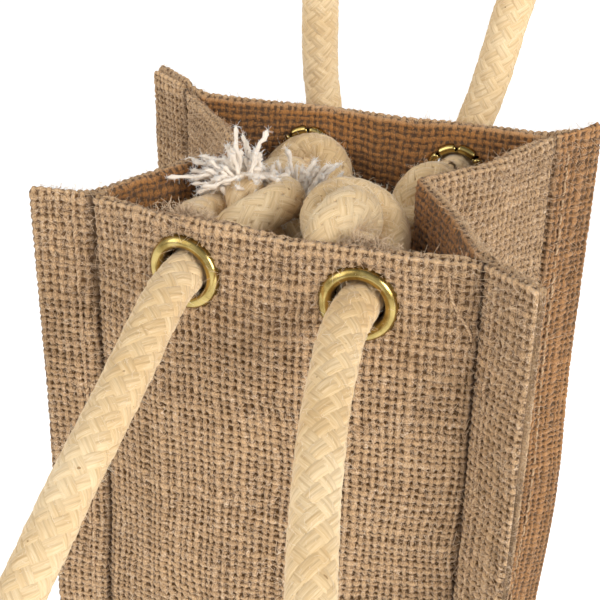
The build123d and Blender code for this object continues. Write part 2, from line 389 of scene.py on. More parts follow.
# ---- Jute cloth ----
YARN_PITCH = 1.78 * MM       # from one yarn to the next, both ways
YARN_HALF = 0.31             # half a yarn's width, in pitches
YARN_RISE = 0.17             # how far a yarn weaves up and down, in pitches
YARN_CROWN = 0.24            # how far a yarn stands proud of its own edges, in pitches
CLOTH_FLOOR = -0.24          # the laminated film between the yarns, in pitches; the holes over it are painted dark as shade
CROWN_LEVEL = 0.6            # the share of the crown that lies below a yarn's mean line


def weave_height(a, b):
    """Height of plain-woven cloth, in pitches; a counts yarns across and b counts them upwards."""

    def yarns(count, along, sign):
        across = count - np.floor(count) - 0.5
        even = sign * (1 - 2 * np.mod(np.floor(count), 2))
        crown = np.sqrt(np.clip(1 - (across / YARN_HALF) ** 2, 0, 1))
        height = even * np.sin(math.pi * along) * YARN_RISE + (crown - CROWN_LEVEL) * YARN_CROWN
        return np.where(crown > 0, height, CLOTH_FLOOR)

    return np.maximum(np.maximum(yarns(a, b, 1), yarns(b, a, -1)), CLOTH_FLOOR)


def hair_lines(s, where, scale, width):
    """Thin winding lines, like stray fibres that lie on the cloth: where a noise passes 0.5."""
    value = s.noise(where, scale, 1.0, 0.4)
    near = s.math("ABSOLUTE", s.sub(value, 0.5))
    broken = s.ramp(s.noise(where, 260.0, 0.0), 0.42, 0.58, 0.15, 0.75)
    return s.mul(s.ramp(near, width * 0.3, width, 1.0, 0.0), broken)


def make_jute(name, light, dark, gap):
    """Plain-woven jute: twisted hairy yarns of uneven colour over a film, with painted shade in the holes
    and on the yarns' lower slopes.
    """
    s = Shade(name)
    a, b, tone = s.detail()      # two counts of yarns, and a share towards the inside colour (+), which also paints shade on a fin, or towards the groove's painted shade (-)
    a = s.add(a, s.mul(s.sub(s.noise(s.place(), 1500.0, 2.0), 0.5), 0.34))
    b = s.add(b, s.mul(s.sub(s.noise(s.aside(), 1500.0, 2.0), 0.5), 0.34))

    def yarns(count, along, sign, other):
        """One set of yarns: its height, and the shade of its fibres."""
        index = s.math("FLOOR", count)
        across = s.sub(s.sub(count, index), 0.5)
        odd = s.math("FLOORED_MODULO", index, 2.0)
        even = s.mul(s.sub(1.0, s.mul(odd, 2.0)), sign)
        wave = s.math("SINE", s.mul(along, math.pi))
        share = s.math("DIVIDE", across, YARN_HALF)
        crown = s.math("SQRT", s.math("MAXIMUM", s.sub(1.0, s.mul(share, share)), 0.0))
        proud = s.mul(s.sub(crown, CROWN_LEVEL), YARN_CROWN)
        height = s.add(s.mul(s.mul(even, wave), YARN_RISE), proud)
        covered = s.math("GREATER_THAN", crown, 0.02)
        height = s.mix_value(covered, CLOTH_FLOOR, height)
        twist = s.add(s.mul(across, 5.0), s.mul(along, 2.2))
        fibres = s.noise(s.vector(twist, s.mul(along, 0.9), s.mul(index, 3.7)), 3.8, 3.0, 0.7)
        slub = s.noise(s.vector(s.mul(along, 0.22), s.mul(index, 9.1), other), 1.0, 1.0)
        own = s.random(s.vector(index, other, 4.0))
        shade = s.add(s.mul(fibres, 0.78), s.add(s.mul(slub, 0.20), s.mul(own, 0.06)))
        return height, shade, fibres

    up_height, up_shade, up_fibres = yarns(a, b, 1.0, 11.0)
    level_height, level_shade, level_fibres = yarns(b, a, -1.0, 23.0)
    on_top = s.math("GREATER_THAN", up_height, level_height)
    height = s.math("MAXIMUM", up_height, level_height)
    shade = s.mix_value(on_top, level_shade, up_shade)
    fibres = s.mix_value(on_top, level_fibres, up_fibres)

    patches = s.noise(s.place(), 26.0, 3.0, 0.55)
    shade = s.add(shade, s.mul(s.sub(patches, 0.5), 0.25))
    # Painted shade and highlight: a yarn is lighter where it stands high and darker where it dives under
    # another.
    shade = s.add(shade, s.mul(height, 0.55))
    shade = s.add(shade, s.ramp(s.up(), HEIGHT - 3 * MM, HEIGHT - 0.5 * MM, 0.0, 0.12))
    grain = s.noise(s.scaled((1.0, 1.0, 0.55)), 3600.0, 2.0, 0.7)
    shade = s.add(shade, s.mul(s.sub(grain, 0.5), 0.85))
    middle = s.mix(0.52, dark, light)
    yarn_colour = s.mix(s.ramp(shade, 0.34, 0.60), dark, middle)
    yarn_colour = s.mix(s.ramp(shade, 0.56, 0.84), yarn_colour, light)
    # Painted shade: the gap colour fills the holes and darkens the yarns' lower slopes; over the hem the
    # painted hole shade is lighter, since the turned-in layer lies behind it.
    depth = s.ramp(height, CLOTH_FLOOR, 0.06)
    hem = s.ramp(s.up(), HEIGHT - HEM_DEPTH, HEIGHT - HEM_DEPTH + 5 * MM, 0.0, 0.45)
    colour = s.mix(depth, s.mix(hem, gap, rgb(124, 92, 62)), yarn_colour)
    hair_shade = s.mix(s.noise(s.aside(), 900.0, 1.0), rgb(196, 164, 128), rgb(236, 216, 192))
    hairs = ((s.place(), 420.0, 0.010), (s.aside(), 640.0, 0.013),
             (s.shifted((9.4, 2.2, 7.9)), 1000.0, 0.020))
    for where, scale, width in hairs:
        colour = s.mix(hair_lines(s, where, scale, width), colour, hair_shade)
    # The inner face gets the same painted shade in its holes and on its yarns' lower slopes.
    inner_shade = s.mul(depth, s.ramp(shade, 0.36, 0.78))
    inner_colour = s.mix(inner_shade, rgb(72, 42, 12), rgb(178, 116, 48))
    inner_colour = s.mix(0.08, inner_colour, hair_shade)
    colour = s.mix(s.math("MAXIMUM", tone, 0.0), colour, inner_colour)
    # Painted shade in the seam's groove beside each fin.
    groove = s.math("MAXIMUM", s.mul(tone, -1.0), 0.0)
    colour = s.mix(groove, colour, rgb(66, 42, 20))
    s.bump(s.add(height, s.mul(fibres, 0.22)), YARN_PITCH, 0.6)
    return s.finish(colour, 0.88, Sheen_Weight=0.12, Sheen_Roughness=0.5, Specular_IOR_Level=0.2)


JUTE = make_jute("jute", rgb(210, 173, 130), rgb(84, 57, 28), rgb(86, 58, 26))

# The outline of the mouth, in millimetres: each wall runs from fin tip to fin tip, past its two
# corners, anticlockwise seen from above, so that its outside is on the right.
MOUTH = {
    "front_panel": mm([
        (-51.0, -38.5), (-37.0, -36.0), (-23.0, -39.2), (-4.0, -41.2),
        (14.0, -41.2), (33.0, -39.4), (47.5, -36.5), (59.5, -46.0),
    ]),
    "right_gusset": mm([
        (59.5, -46.0), (47.5, -36.5), (37.0, -18.5), (24.5, -1.5),
        (36.0, 12.0), (42.2, 26.4), (46.5, 36.0), (56.0, 46.0),
    ]),
    "back_panel": mm([
        (56.0, 46.0), (46.5, 36.0), (33.5, 36.3), (14.5, 35.5),
        (-4.3, 34.5), (-23.3, 33.6), (-46.5, 32.0), (-59.5, 39.5),
    ]),
    "left_gusset": mm([
        (-59.5, 39.5), (-46.5, 32.0), (-33.0, 18.0), (-20.0, 1.5),
        (-28.0, -13.4), (-37.0, -36.0), (-51.0, -38.5),
    ]),
}
BASE_LOW, BASE_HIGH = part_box("base_panel")
BASE_FIN = Vector((12 * MM, 9.5 * MM))          # a fin's tip from its corner, at the base
BASE_SIDES = {                                  # the corners at a wall's start and end
    "front_panel": ((-1, -1), (1, -1)),
    "right_gusset": ((1, -1), (1, 1)),
    "back_panel": ((1, 1), (-1, 1)),
    "left_gusset": ((-1, 1), (-1, -1)),
}
MOUTH_SHAPE_HEIGHT = 215 * MM   # the mouth's outline holds above this height
CLOTH = 1.45 * MM               # one layer
FOLD_RADIUS = CLOTH             # of the hem's fold: half of its two layers
TIP_RADIUS = CLOTH / 2
CREASE_SPREAD = 1.7 * MM        # how softly the cloth turns its corners
FINE = 0.36 * MM           # between the cloth's points near the mouth
COARSE = 0.66 * MM          # and lower down
FINE_ABOVE = 232 * MM
GROOVE_WIDTH = 1.1 * MM         # of the seam's groove beside each fin
GROOVE_DEPTH = 1.3 * MM
PATH_STEP = 0.25 * MM           # between the places on a wall's path
SWAY = 1.3 * MM                 # how far the soft walls wander below the hem
FIN_START = 3.0 * MM            # the fins begin over this distance inside the corners
TIP_DROP = 1.3 * MM             # a fin's upper corner is rounded off by this much
TIP_REACH = 2.0 * MM            # over this distance
PRESSED = 7.0 * MM              # the cloth is flat this far round an eyelet's centre
PRESS_FADE = 3.0 * MM           # and has its full relief this much further out
HOLE = 6.2 * MM                 # radius cut from the cloth under an eyelet


def smooth_min(a, b, width):
    share = np.clip(0.5 + 0.5 * (b - a) / width, 0, 1)
    return b * (1 - share) + a * share - width * share * (1 - share)


def blurred(values, spread):
    """Values along a line, evenly spaced, smoothed by a bell curve of that spread in steps."""
    reach = int(3 * spread) + 1
    weights = np.exp(-0.5 * (np.arange(-reach, reach + 1) / spread) ** 2)
    weights /= weights.sum()
    before = 2 * values[0] - values[reach:0:-1]
    after = 2 * values[-1] - values[-2:-reach - 2:-1]
    long = np.concatenate([before, values, after])
    return np.stack([np.convolve(side, weights, "valid") for side in long.T], 1)


def sway(points):
    """How the soft walls wander from flat, lower than the hem; the same for walls that meet."""
    x, y, z = points[..., 0], points[..., 1], points[..., 2]
    share = np.clip(z / 0.06, 0, 1) * np.clip((0.315 - z) / 0.1, 0, 1)
    size = SWAY * eased(share)
    moved = points.copy()
    moved[..., 0] += size * np.sin(z * 47 + y * 38 + 0.7)
    moved[..., 1] += size * np.sin(z * 39 + x * 33 + 2.1) + 0.5 * size * np.sin(z * 90 - x * 60)
    return moved


class Wall:
    """One wall of the bag: a place on the cloth for any distance along its path and any height."""

    def __init__(self, name):
        self.name = name
        mouth = MOUTH[name]
        pieces = [np.linalg.norm(b - a) for a, b in zip(mouth[:-1], mouth[1:])]
        self.length = sum(pieces)
        self.first = pieces[0]
        self.last = self.length - pieces[-1]
        self.places = np.linspace(0, self.length, round(self.length / PATH_STEP) + 1)
        knots = np.concatenate([[0], np.cumsum(pieces)])
        line = line_at(self.places, knots, mouth)
        start, end = (np.array(side) for side in BASE_SIDES[name])
        half = np.array([BASE_HIGH.x, BASE_HIGH.y]) + 0.3 * MM
        fin = np.array(BASE_FIN)
        base_knots = np.array([
            start * (half + fin), start * half, end * half, end * (half + fin)])
        base = line_at(self.places, [0, self.first, self.last, self.length], base_knots)
        spread = CREASE_SPREAD / PATH_STEP
        self.mouth_line = blurred(line, spread)
        self.base_line = blurred(base, spread)
        self.rng = np.random.default_rng(SEED + len(name) * 13)
        self.rise = blurred(self.rng.normal(0, 1, (len(self.places), 1)), 26)[:, 0]
        self.rise *= 0.35 * MM / self.rise.std()

    def top(self, along):
        """The height of the hem's edge there."""
        rise = np.interp(along, self.places, self.rise)
        at_start, at_end = FIN_RISE[self.name]
        rise = rise + at_start * np.clip((self.first + 4 * MM - along) / (7 * MM), 0, 1)
        rise = rise + at_end * np.clip((along - self.last + 4 * MM) / (7 * MM), 0, 1)
        return HEIGHT - 0.6 * MM + rise

    def seam(self, along, z):
        """Points on the inner face of the outer layer."""
        share = smooth_min(z / MOUTH_SHAPE_HEIGHT, 1.0, 0.3)[..., None]
        share = share / smooth_min(HEIGHT / MOUTH_SHAPE_HEIGHT, 1.0, 0.3)
        low = line_at(along, self.places, self.base_line)
        high = line_at(along, self.places, self.mouth_line)
        flat = low * (1 - share) + high * share
        return sway(np.concatenate([flat, np.broadcast_to(z, along.shape)[..., None]], -1))

    def outward(self, along, z):
        """The direction out of the cloth, level."""
        ahead = self.seam(along + 0.6 * MM, z)
        behind = self.seam(along - 0.6 * MM, z)
        run = ahead - behind
        out = np.stack([run[..., 1], -run[..., 0], np.zeros(run.shape[:-1])], -1)
        return unit(out)

    def on(self, along, z, lift):
        """Points that far out from the mean outer face."""
        along, z, lift = np.broadcast_arrays(*(np.asarray(v, float) for v in (along, z, lift)))
        return self.seam(along, z) + self.outward(along, z) * (CLOTH + lift)[..., None]

    def fin_share(self, along):
        """1 on the fins and 0 between the corners."""
        inside = np.minimum(along - self.first, self.last - along)
        return eased(np.clip(0.5 - (inside - FIN_START) / FIN_START, 0, 1))


# Fins that stand higher than the hem beside them: at the wall's start and at its end
FIN_RISE = {
    "back_panel": (0.5 * MM, 2.4 * MM),
    "left_gusset": (2.4 * MM, 0.0),
    "right_gusset": (0.0, 0.5 * MM),
    "front_panel": (0.0, 0.0),
}

# Painted shade on the fin at a wall's end, from 0 to 1, in the inside colour: a dark strip in the photo,
# as that fin is in shadow
FIN_PAINTED_SHADE = {"right_gusset": 0.7}


def spaced_rows():
    """Shares of the straight height at which a wall has a row of points."""
    coarse = np.arange(0, FINE_ABOVE, COARSE)
    fine = np.arange(FINE_ABOVE, HEIGHT - FOLD_RADIUS, FINE)
    rows = np.concatenate([coarse, fine])
    return rows / (rows[-1] + FINE)


def inner_faces(keep, row_pick, column_pick):
    """The inner face's polygons, which share every edge point of the outer face."""
    number = np.arange(keep.size).reshape(keep.shape)
    inner_number = number.copy()
    shape = (len(row_pick) - 2, len(column_pick) - 2)
    inner_number[np.ix_(row_pick[1:-1], column_pick[1:-1])] = (
        keep.size + np.arange(shape[0] * shape[1]).reshape(shape))
    by_corners = {4: []}
    for i, (low, high) in enumerate(zip(row_pick[:-1], row_pick[1:])):
        for j, (left, right) in enumerate(zip(column_pick[:-1], column_pick[1:])):
            if not keep[low:high + 1, left:right + 1].all():
                continue
            ring = [inner_number[low, left]]
            if j == 0:
                ring += list(number[low + 1:high, left])
            ring.append(inner_number[high, left])
            if i == shape[0]:
                ring += list(number[high, left + 1:right])
            ring.append(inner_number[high, right])
            if j == shape[1]:
                ring += list(number[low + 1:high, right][::-1])
            ring.append(inner_number[low, right])
            if i == 0:
                ring += list(number[low, left + 1:right][::-1])
            by_corners.setdefault(len(ring), []).append(ring)
    return [np.array(rings) for rings in by_corners.values() if rings]


def make_wall(wall, eyelets):
    """The cloth of one wall: an outer face, and an inner face with the turned-in hem."""
    fold_steps = 7
    turn = np.linspace(0, math.pi / 2, fold_steps + 1)
    straight = spaced_rows()
    rows = len(straight) + len(turn)
    tip = np.linspace(0, math.pi / 2, 4)[:-1]
    middle = np.linspace(TIP_RADIUS, wall.length - TIP_RADIUS,
                         round((wall.length - 2 * TIP_RADIUS) / FINE) + 1)
    start = TIP_RADIUS * (1 - np.cos(tip))
    along = np.concatenate([start, middle, wall.length - start[::-1]])
    edge_share = np.concatenate([np.sin(tip), np.ones(len(middle)), np.sin(tip)[::-1]])
    columns = len(along)

    fins = wall.fin_share(along)
    hem_radius = FOLD_RADIUS * (1 - fins) + TIP_RADIUS * fins
    from_tip = np.minimum(along, wall.length - along)
    top = wall.top(along) - TIP_DROP * np.clip(1 - from_tip / TIP_REACH, 0, 1) ** 2
    fold_start = (top - hem_radius)[None]
    below = straight[:, None] * fold_start
    z = np.concatenate([below, fold_start + hem_radius[None] * np.sin(turn)[:, None]])
    travel = np.concatenate([below, fold_start + hem_radius[None] * turn[:, None]])
    round_share = np.concatenate([np.ones(len(straight)), np.cos(turn)])[:, None] * edge_share[None]
    grid_along = np.broadcast_to(along, z.shape)

    seam = wall.seam(grid_along, z)
    out = wall.outward(grid_along, z)
    hem_share = np.clip((z - (HEIGHT - HEM_DEPTH)) / (1.0 * MM), 0, 1) * (1 - fins)[None]
    inner_depth = -CLOTH * hem_share
    middle_depth = (CLOTH + inner_depth) / 2
    half = (CLOTH - inner_depth) / 2
    groove = np.exp(-((along - wall.first) / GROOVE_WIDTH) ** 2)
    groove = groove + np.exp(-((along - wall.last) / GROOVE_WIDTH) ** 2)
    dip = GROOVE_DEPTH * groove[None] * np.clip((HEIGHT - z) / (6 * MM), 0.25, 1)
    outer_base = seam + out * (middle_depth + half * round_share - dip)[..., None]
    inner_base = seam + out * (middle_depth - half * round_share)[..., None]

    drift = noise(z.shape, (14, 6), wall.rng, 0.30) + noise(z.shape, (70, 26), wall.rng, 0.085)
    uneven = noise((rows, 3), (230, 1), wall.rng, 0.13)[:, :1]
    uneven_across = noise((3, columns), (1, 75), wall.rng, 0.13)[:1]
    lie = noise(z.shape, (10, 8), wall.rng, 0.34) + noise(z.shape, (60, 30), wall.rng, 0.085)
    a = grid_along / YARN_PITCH + drift + uneven_across
    b = travel / YARN_PITCH + lie + uneven
    top_b = b[-1]

    def normals(base, flip):
        run = np.cross(np.gradient(base, axis=1), np.gradient(base, axis=0)) * flip
        return run / np.maximum(np.linalg.norm(run, axis=-1)[..., None], 1e-12)

    tipness = np.clip(1 - from_tip / (1.3 * MM), 0, 1)
    relief = np.ones(z.shape) * (1 - 0.6 * tipness)[None]
    keep = np.ones(z.shape, bool)
    for centre in eyelets:
        offset = seam - np.array(centre)
        away = np.linalg.norm(offset, axis=-1)
        flat_share = np.clip((away - PRESSED) / PRESS_FADE, 0, 1)
        relief *= 0.25 + 0.75 * flat_share
        outer_base -= out * (0.35 * MM * (1 - flat_share))[..., None]
        keep &= np.linalg.norm(offset * np.array([1, 0, 1]), axis=-1) > HOLE
    height = weave_height(a, b) * YARN_PITCH * relief
    outer = outer_base + normals(outer_base, 1) * height[..., None]

    inner_b = 2 * top_b[None] - b
    inner_relief = np.where(hem_share > 0.5, 1.0, 0.3) * (1 - 0.85 * fins)[None] * relief
    inner_height = weave_height(a, inner_b) * YARN_PITCH * inner_relief
    inner = inner_base + normals(inner_base, -1) * inner_height[..., None]
    inside = np.clip((inner_b - top_b[None]) * YARN_PITCH / (2 * MM), 0, 1) * (1 - fins)[None]

    # The inner face uses some of the rows and columns, more of them near the mouth
    close = len(straight) - 90
    row_pick = sorted({0, rows - 1, *range(6, close, 6), *range(close, rows - 1, 2)})
    column_pick = sorted({columns - 1, *range(0, columns, 3)})
    picked = np.ix_(row_pick[1:-1], column_pick[1:-1])

    # Painted shade: the fin in shadow takes the inside colour (+), and the seam's groove is darkened (-).
    fin_shade = FIN_PAINTED_SHADE.get(wall.name, 0.0) * np.clip((along - wall.last) / (2 * MM), 0, 1)
    tone = fin_shade - 0.85 * np.clip(groove, 0, 1) * (fin_shade < 0.1)
    notes = np.stack([a, b, np.broadcast_to(tone, z.shape)], -1)
    inner_notes = np.stack([a, inner_b, inside], -1)
    points = np.concatenate([outer.reshape(-1, 3), inner[picked].reshape(-1, 3)])
    notes = np.concatenate([notes.reshape(-1, 3), inner_notes[picked].reshape(-1, 3)])

    quads = grid_faces(rows, columns)
    kept = keep.ravel()[quads].all(axis=1)
    builder = Builder()
    builder.add(points, [quads[kept]] + inner_faces(keep, row_pick, column_pick), notes)
    return build_on_bag(builder, wall.name + "_cloth", JUTE, "jute", wall.name)


WALLS = {name: Wall(name) for name in MOUTH}
WALL_EYELETS = {
    "front_panel": ("front_left", "front_right"),
    "back_panel": ("back_left", "back_right"),
}
for name, wall in WALLS.items():
    centres = [box_centre(place + "_eyelet") for place in WALL_EYELETS.get(name, ())]
    piece = make_wall(wall, centres)


# ---- Braided cotton rope ----
CARRIERS = 6                 # strands each way round
BRAID_PITCH = 25 * MM        # one turn of a strand
BRAID_RADIUS = 3.85 * MM     # of the strands' mean line
BRAID_WEAVE = 0.13 * MM      # how far a strand goes over and under
STRAND_WIDTH = 1.80 * MM     # half the width of a strand
STRAND_DEPTH = 0.60 * MM     # half its thickness
STRAND_CORNERS = 8
ROPE_STEP = 0.75 * MM


def make_cotton(name, light, dark, speck_and_edge_shade):
    """Soft cotton strands: fine lengthwise fibres, slow stains, a few dark specks, and painted shade
    along the strands' edges.
    """
    s = Shade(name)
    along, around, strand = s.detail()
    fibres = s.noise(s.vector(s.add(s.mul(around, 22.0), s.mul(along, 0.55)), s.mul(along, 0.35),
                              s.mul(strand, 5.3)), 1.0, 3.0, 0.6)
    bands = s.noise(s.vector(s.mul(around, 7.0), s.mul(along, 0.06), s.mul(strand, 8.1)), 1.0, 1.0)
    stains = s.noise(s.place(), 55.0, 2.0)
    shade = s.add(s.mul(fibres, 0.50), s.add(s.mul(bands, 0.25), s.mul(stains, 0.45)))
    colour = s.mix(s.ramp(shade, 0.42, 0.80), dark, light)
    specks = s.noise(s.place(), 620.0, 1.0)
    colour = s.mix(s.ramp(specks, 0.76, 0.80, 0.0, 0.75), colour, speck_and_edge_shade)
    # Painted shade in the creases between strands, in the specks' dark colour.
    edge = s.math("ABSOLUTE", s.sub(s.math("FRACT", s.mul(around, 2.0)), 0.5))
    strand_edge_shade = s.ramp(edge, 0.36, 0.5, 0.0, 0.28)
    colour = s.mix(strand_edge_shade, colour, speck_and_edge_shade)
    s.bump(s.add(s.mul(fibres, 0.7), bands), 0.30 * MM, 0.5)
    return s.finish(colour, 0.85, Sheen_Weight=0.25, Sheen_Roughness=0.45,
                    Specular_IOR_Level=0.25)


ROPE = make_cotton("rope", rgb(233, 209, 169), rgb(206, 172, 122), rgb(142, 104, 58))


def add_braid(builder, line, rng, swell=0.0, round_end=False):
    """Strands that wind both ways round a line, each over one and under one of the others.

    The rope is thicker by the share swell where it starts, and its far end may be rounded.
    """
    line = evenly(line, ROPE_STEP)
    place = np.arange(len(line)) * line_length(line) / (len(line) - 1)
    tangents, side, other = frames_along(line)
    size = 1 + swell * np.exp(-(place / (7 * MM)) ** 2)
    corner = np.arange(STRAND_CORNERS) / STRAND_CORNERS * 2 * math.pi
    for way in (1, -1):
        for k in range(CARRIERS):
            angle = way * 2 * math.pi * place / BRAID_PITCH + 2 * math.pi * k / CARRIERS
            angle += 0.05 * blurred(rng.normal(0, 3, (len(line), 1)), 8)[:, 0]
            over = np.tanh(1.6 * way * np.cos(CARRIERS * angle)) / np.tanh(1.6)
            loose = 0.09 * MM * np.clip(blurred(rng.normal(0, 3, (len(line), 1)), 6)[:, 0], -1, 1)
            radius = (BRAID_RADIUS + BRAID_WEAVE * over + loose) * size
            out = turned(side, other, angle)
            centre = line + out * radius[:, None]
            across = unit(np.cross(unit(np.gradient(centre, axis=0)), out))
            width = STRAND_WIDTH * (1 + 0.07 * rng.normal())
            rounded = np.sign(np.sin(corner)) * np.abs(np.sin(corner)) ** 0.6
            ring = (across[:, None] * np.cos(corner)[None, :, None] * (width * size)[:, None, None]
                    + out[:, None] * rounded[None, :, None] * STRAND_DEPTH)
            points = centre[:, None] + ring
            notes = three_notes(points.shape, place[:, None] / MM, np.abs(corner / math.pi - 1)[None],
                                k * 1.7 + (way + 1) * 20.3)
            builder.add(points, [grid_faces(len(line), STRAND_CORNERS, True)], notes)
    core = line
    radii = (BRAID_RADIUS + 0.22 * MM) * size
    if round_end:
        turn = np.linspace(0.15, 1.0, 7)[:, None] * math.pi / 2
        core = np.concatenate([line, line[-1] + tangents[-1] * np.sin(turn) * 0.8 * BRAID_RADIUS])
        radii = np.concatenate([radii, BRAID_RADIUS * np.cos(turn[:, 0]) * 1.08 + 0.02 * MM])
    add_tube(builder, core, radii, 16, np.arange(len(core)) * ROPE_STEP / MM, 0.25)


def add_hairs(builder, roots, ways, lengths, radius, rng, curl=0.5, points=6):
    """Fine curved fibres, three-sided, that start at roots and set off along ways."""
    count = len(roots)
    steps = lengths / (points - 1)
    way = unit(ways)
    drift = rng.normal(0, 1, (count, 3))
    line = [roots]
    for _ in range(points - 1):
        way = unit(way + curl * (drift + 0.6 * rng.normal(0, 1, (count, 3))) / (points - 1))
        line.append(line[-1] + way * steps[:, None])
    line = np.stack(line, 1)
    run = unit(np.gradient(line, axis=1))
    side = unit(np.cross(run, np.array([0.3, 0.5, 0.81])))
    other = np.cross(run, side)
    thin = radius * np.linspace(1, 0.35, points)[None, :, None]
    thirds = np.arange(3) * 2 * math.pi / 3
    rings = np.stack([line + turned(side, other, angle) * thin for angle in thirds], 2)
    one = grid_faces(points, 3, True)
    faces = (one[None] + (np.arange(count) * points * 3)[:, None, None]).reshape(-1, 4)
    builder.add(rings, [faces], three_notes(
        rings.shape, np.linspace(0, 1, points)[None, :, None], rng.random(count)[:, None, None], 0.0))


def make_fibre(name, root, tip, pale):
    """Loose fibres: one colour near the root, another at the tip, and their own shade each."""
    s = Shade(name)
    along, own, _ = s.detail()
    colour = s.mix(s.ramp(along, 0.1, 0.6), root, tip)
    colour = s.mix(s.mul(own, 0.6), colour, pale)
    return s.finish(colour, 0.8, Sheen_Weight=0.2, Specular_IOR_Level=0.2)


JUTE_FIBRE = make_fibre("jute_fibre", rgb(176, 142, 104), rgb(206, 176, 140), rgb(232, 208, 178))
COTTON_FIBRE = make_fibre("cotton_fibre", rgb(236, 214, 176), rgb(246, 232, 208), rgb(250, 242, 226))


def add_rope_fuzz(builder, line, count, rng):
    """Short fibres all round a rope."""
    line = evenly(line, 1 * MM)
    _, side, other = frames_along(line)
    pick = rng.integers(1, len(line) - 1, count)
    angle = rng.random(count) * 2 * math.pi
    out = turned(side[pick], other[pick], angle)
    roots = line[pick] + out * (BRAID_RADIUS + 0.75 * MM)
    ways = out * 0.5 + rng.normal(0, 0.7, (count, 3))
    add_hairs(builder, roots, ways, (0.6 + 2.0 * rng.random(count) ** 2) * MM, 0.03 * MM, rng, 1.4)


HANDLES = {
    "front_handle": (FRONT_ROUTE, box_centre("front_left_eyelet")),
    "back_handle": (BACK_ROUTE, box_centre("back_left_eyelet")),
}
# The centre line of each handle's rope, by handle; the knots start from its ends
ROPE_LINES = {}


def make_handles():
    for number, (name, (route, exit_place)) in enumerate(HANDLES.items()):
        rng = np.random.default_rng(SEED + 50 + number)
        line = evenly(spline_points(name + "_line", route), LINE_STEP)
        ROPE_LINES[name] = line
        builder = Builder()
        add_braid(builder, line, rng)
        rope = builder.build(name + "_rope", ROPE, "rope")
        fuzz = Builder()
        add_rope_fuzz(fuzz, line, 3400, rng)
        fibres = fuzz.build(name + "_fuzz", COTTON_FIBRE, "rope")
        for piece in (rope, fibres):
            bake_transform(piece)
        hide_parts(name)


make_handles()

# ---- Overhand knots ----
KNOT_REACH = 14.0 * MM       # the knot's own rope lies within this distance of its centre
TAIL_REACH = 10.5 * MM       # and its loose end is cut off this far from the centre
KNOT_THICKNESS = 8.7 * MM    # the rope is pressed a little thinner where it crosses itself


KNOT_ROPE = 158 * MM         # the rope that the knot is drawn tight in
KNOT_POINTS = 84
KNOT_ROUTE_STEP = 3 * MM     # between the route points of the smooth line through a knot
PULLS = 600                  # small pulls on the knot's two ends
SETTLES = 100                # and turns without a pull after them


def tie_knot():
    """The line of an overhand knot, drawn tight along X by pulling its ends."""
    count = KNOT_POINTS
    t = np.linspace(-2.15, 2.15, count)
    points = np.stack([t ** 3 - 3 * t, t ** 4 - 4 * t ** 2, (t ** 5 - 10 * t) * 0.16], 1) * 5.4 * MM
    points = evenly(points, line_length(points) / (count - 1))[:count]
    rest = KNOT_ROPE / (count - 1)
    apart = np.abs(np.arange(count)[:, None] - np.arange(count)[None])
    far = apart * rest > 1.45 * KNOT_THICKNESS
    for turn in range(PULLS + SETTLES):
        pull = 0.10 * MM if turn < PULLS else 0.0
        points[0, 0] -= pull
        points[-1, 0] += pull
        for _ in range(4):
            for first in (0, 1):
                near, after = points[first:-1:2], points[first + 1::2]
                gap = after - near
                length = np.linalg.norm(gap, axis=1)[:, None]
                move = gap * (0.5 * (length - rest) / length)
                near += move
                after -= move
            points[1:-1] += 0.10 * ((points[:-2] + points[2:]) / 2 - points[1:-1])
            gap = points[:, None] - points[None]
            length = np.linalg.norm(gap, axis=2) + 1e-9
            push = np.where(far & (length < KNOT_THICKNESS), (KNOT_THICKNESS - length) / length, 0)
            points += 0.35 * (gap * push[..., None]).sum(axis=1) / 2
    return points


def bezier(a, b, c, d, count):
    t = np.linspace(0, 1, count)[:, None]
    return (1 - t) ** 3 * a + 3 * (1 - t) ** 2 * t * b + 3 * (1 - t) * t ** 2 * c + t ** 3 * d


KNOT_LINE = tie_knot()
# Each knot: its centre, the way its ends run, and how far it is rolled about that, in degrees
KNOTS = {
    "front_left": ((-9.6, -21.0, 340.5), (0.1, 1.0, 0.1), 0),
    "front_right": ((15.5, -22.5, 342.5), (0.1, 1.0, 0.1), 240),
    "back_left": ((-12.0, 18.5, 332.5), (0.15, -1.0, -0.55), 0),
    "back_right": ((20.0, 16.0, 331.5), (-0.3, -1.0, 0.0), 240),
}
KNOT_LINES = {}
FILLED = ("back_left", "back_right")    # eyelets that their squeezed rope fills


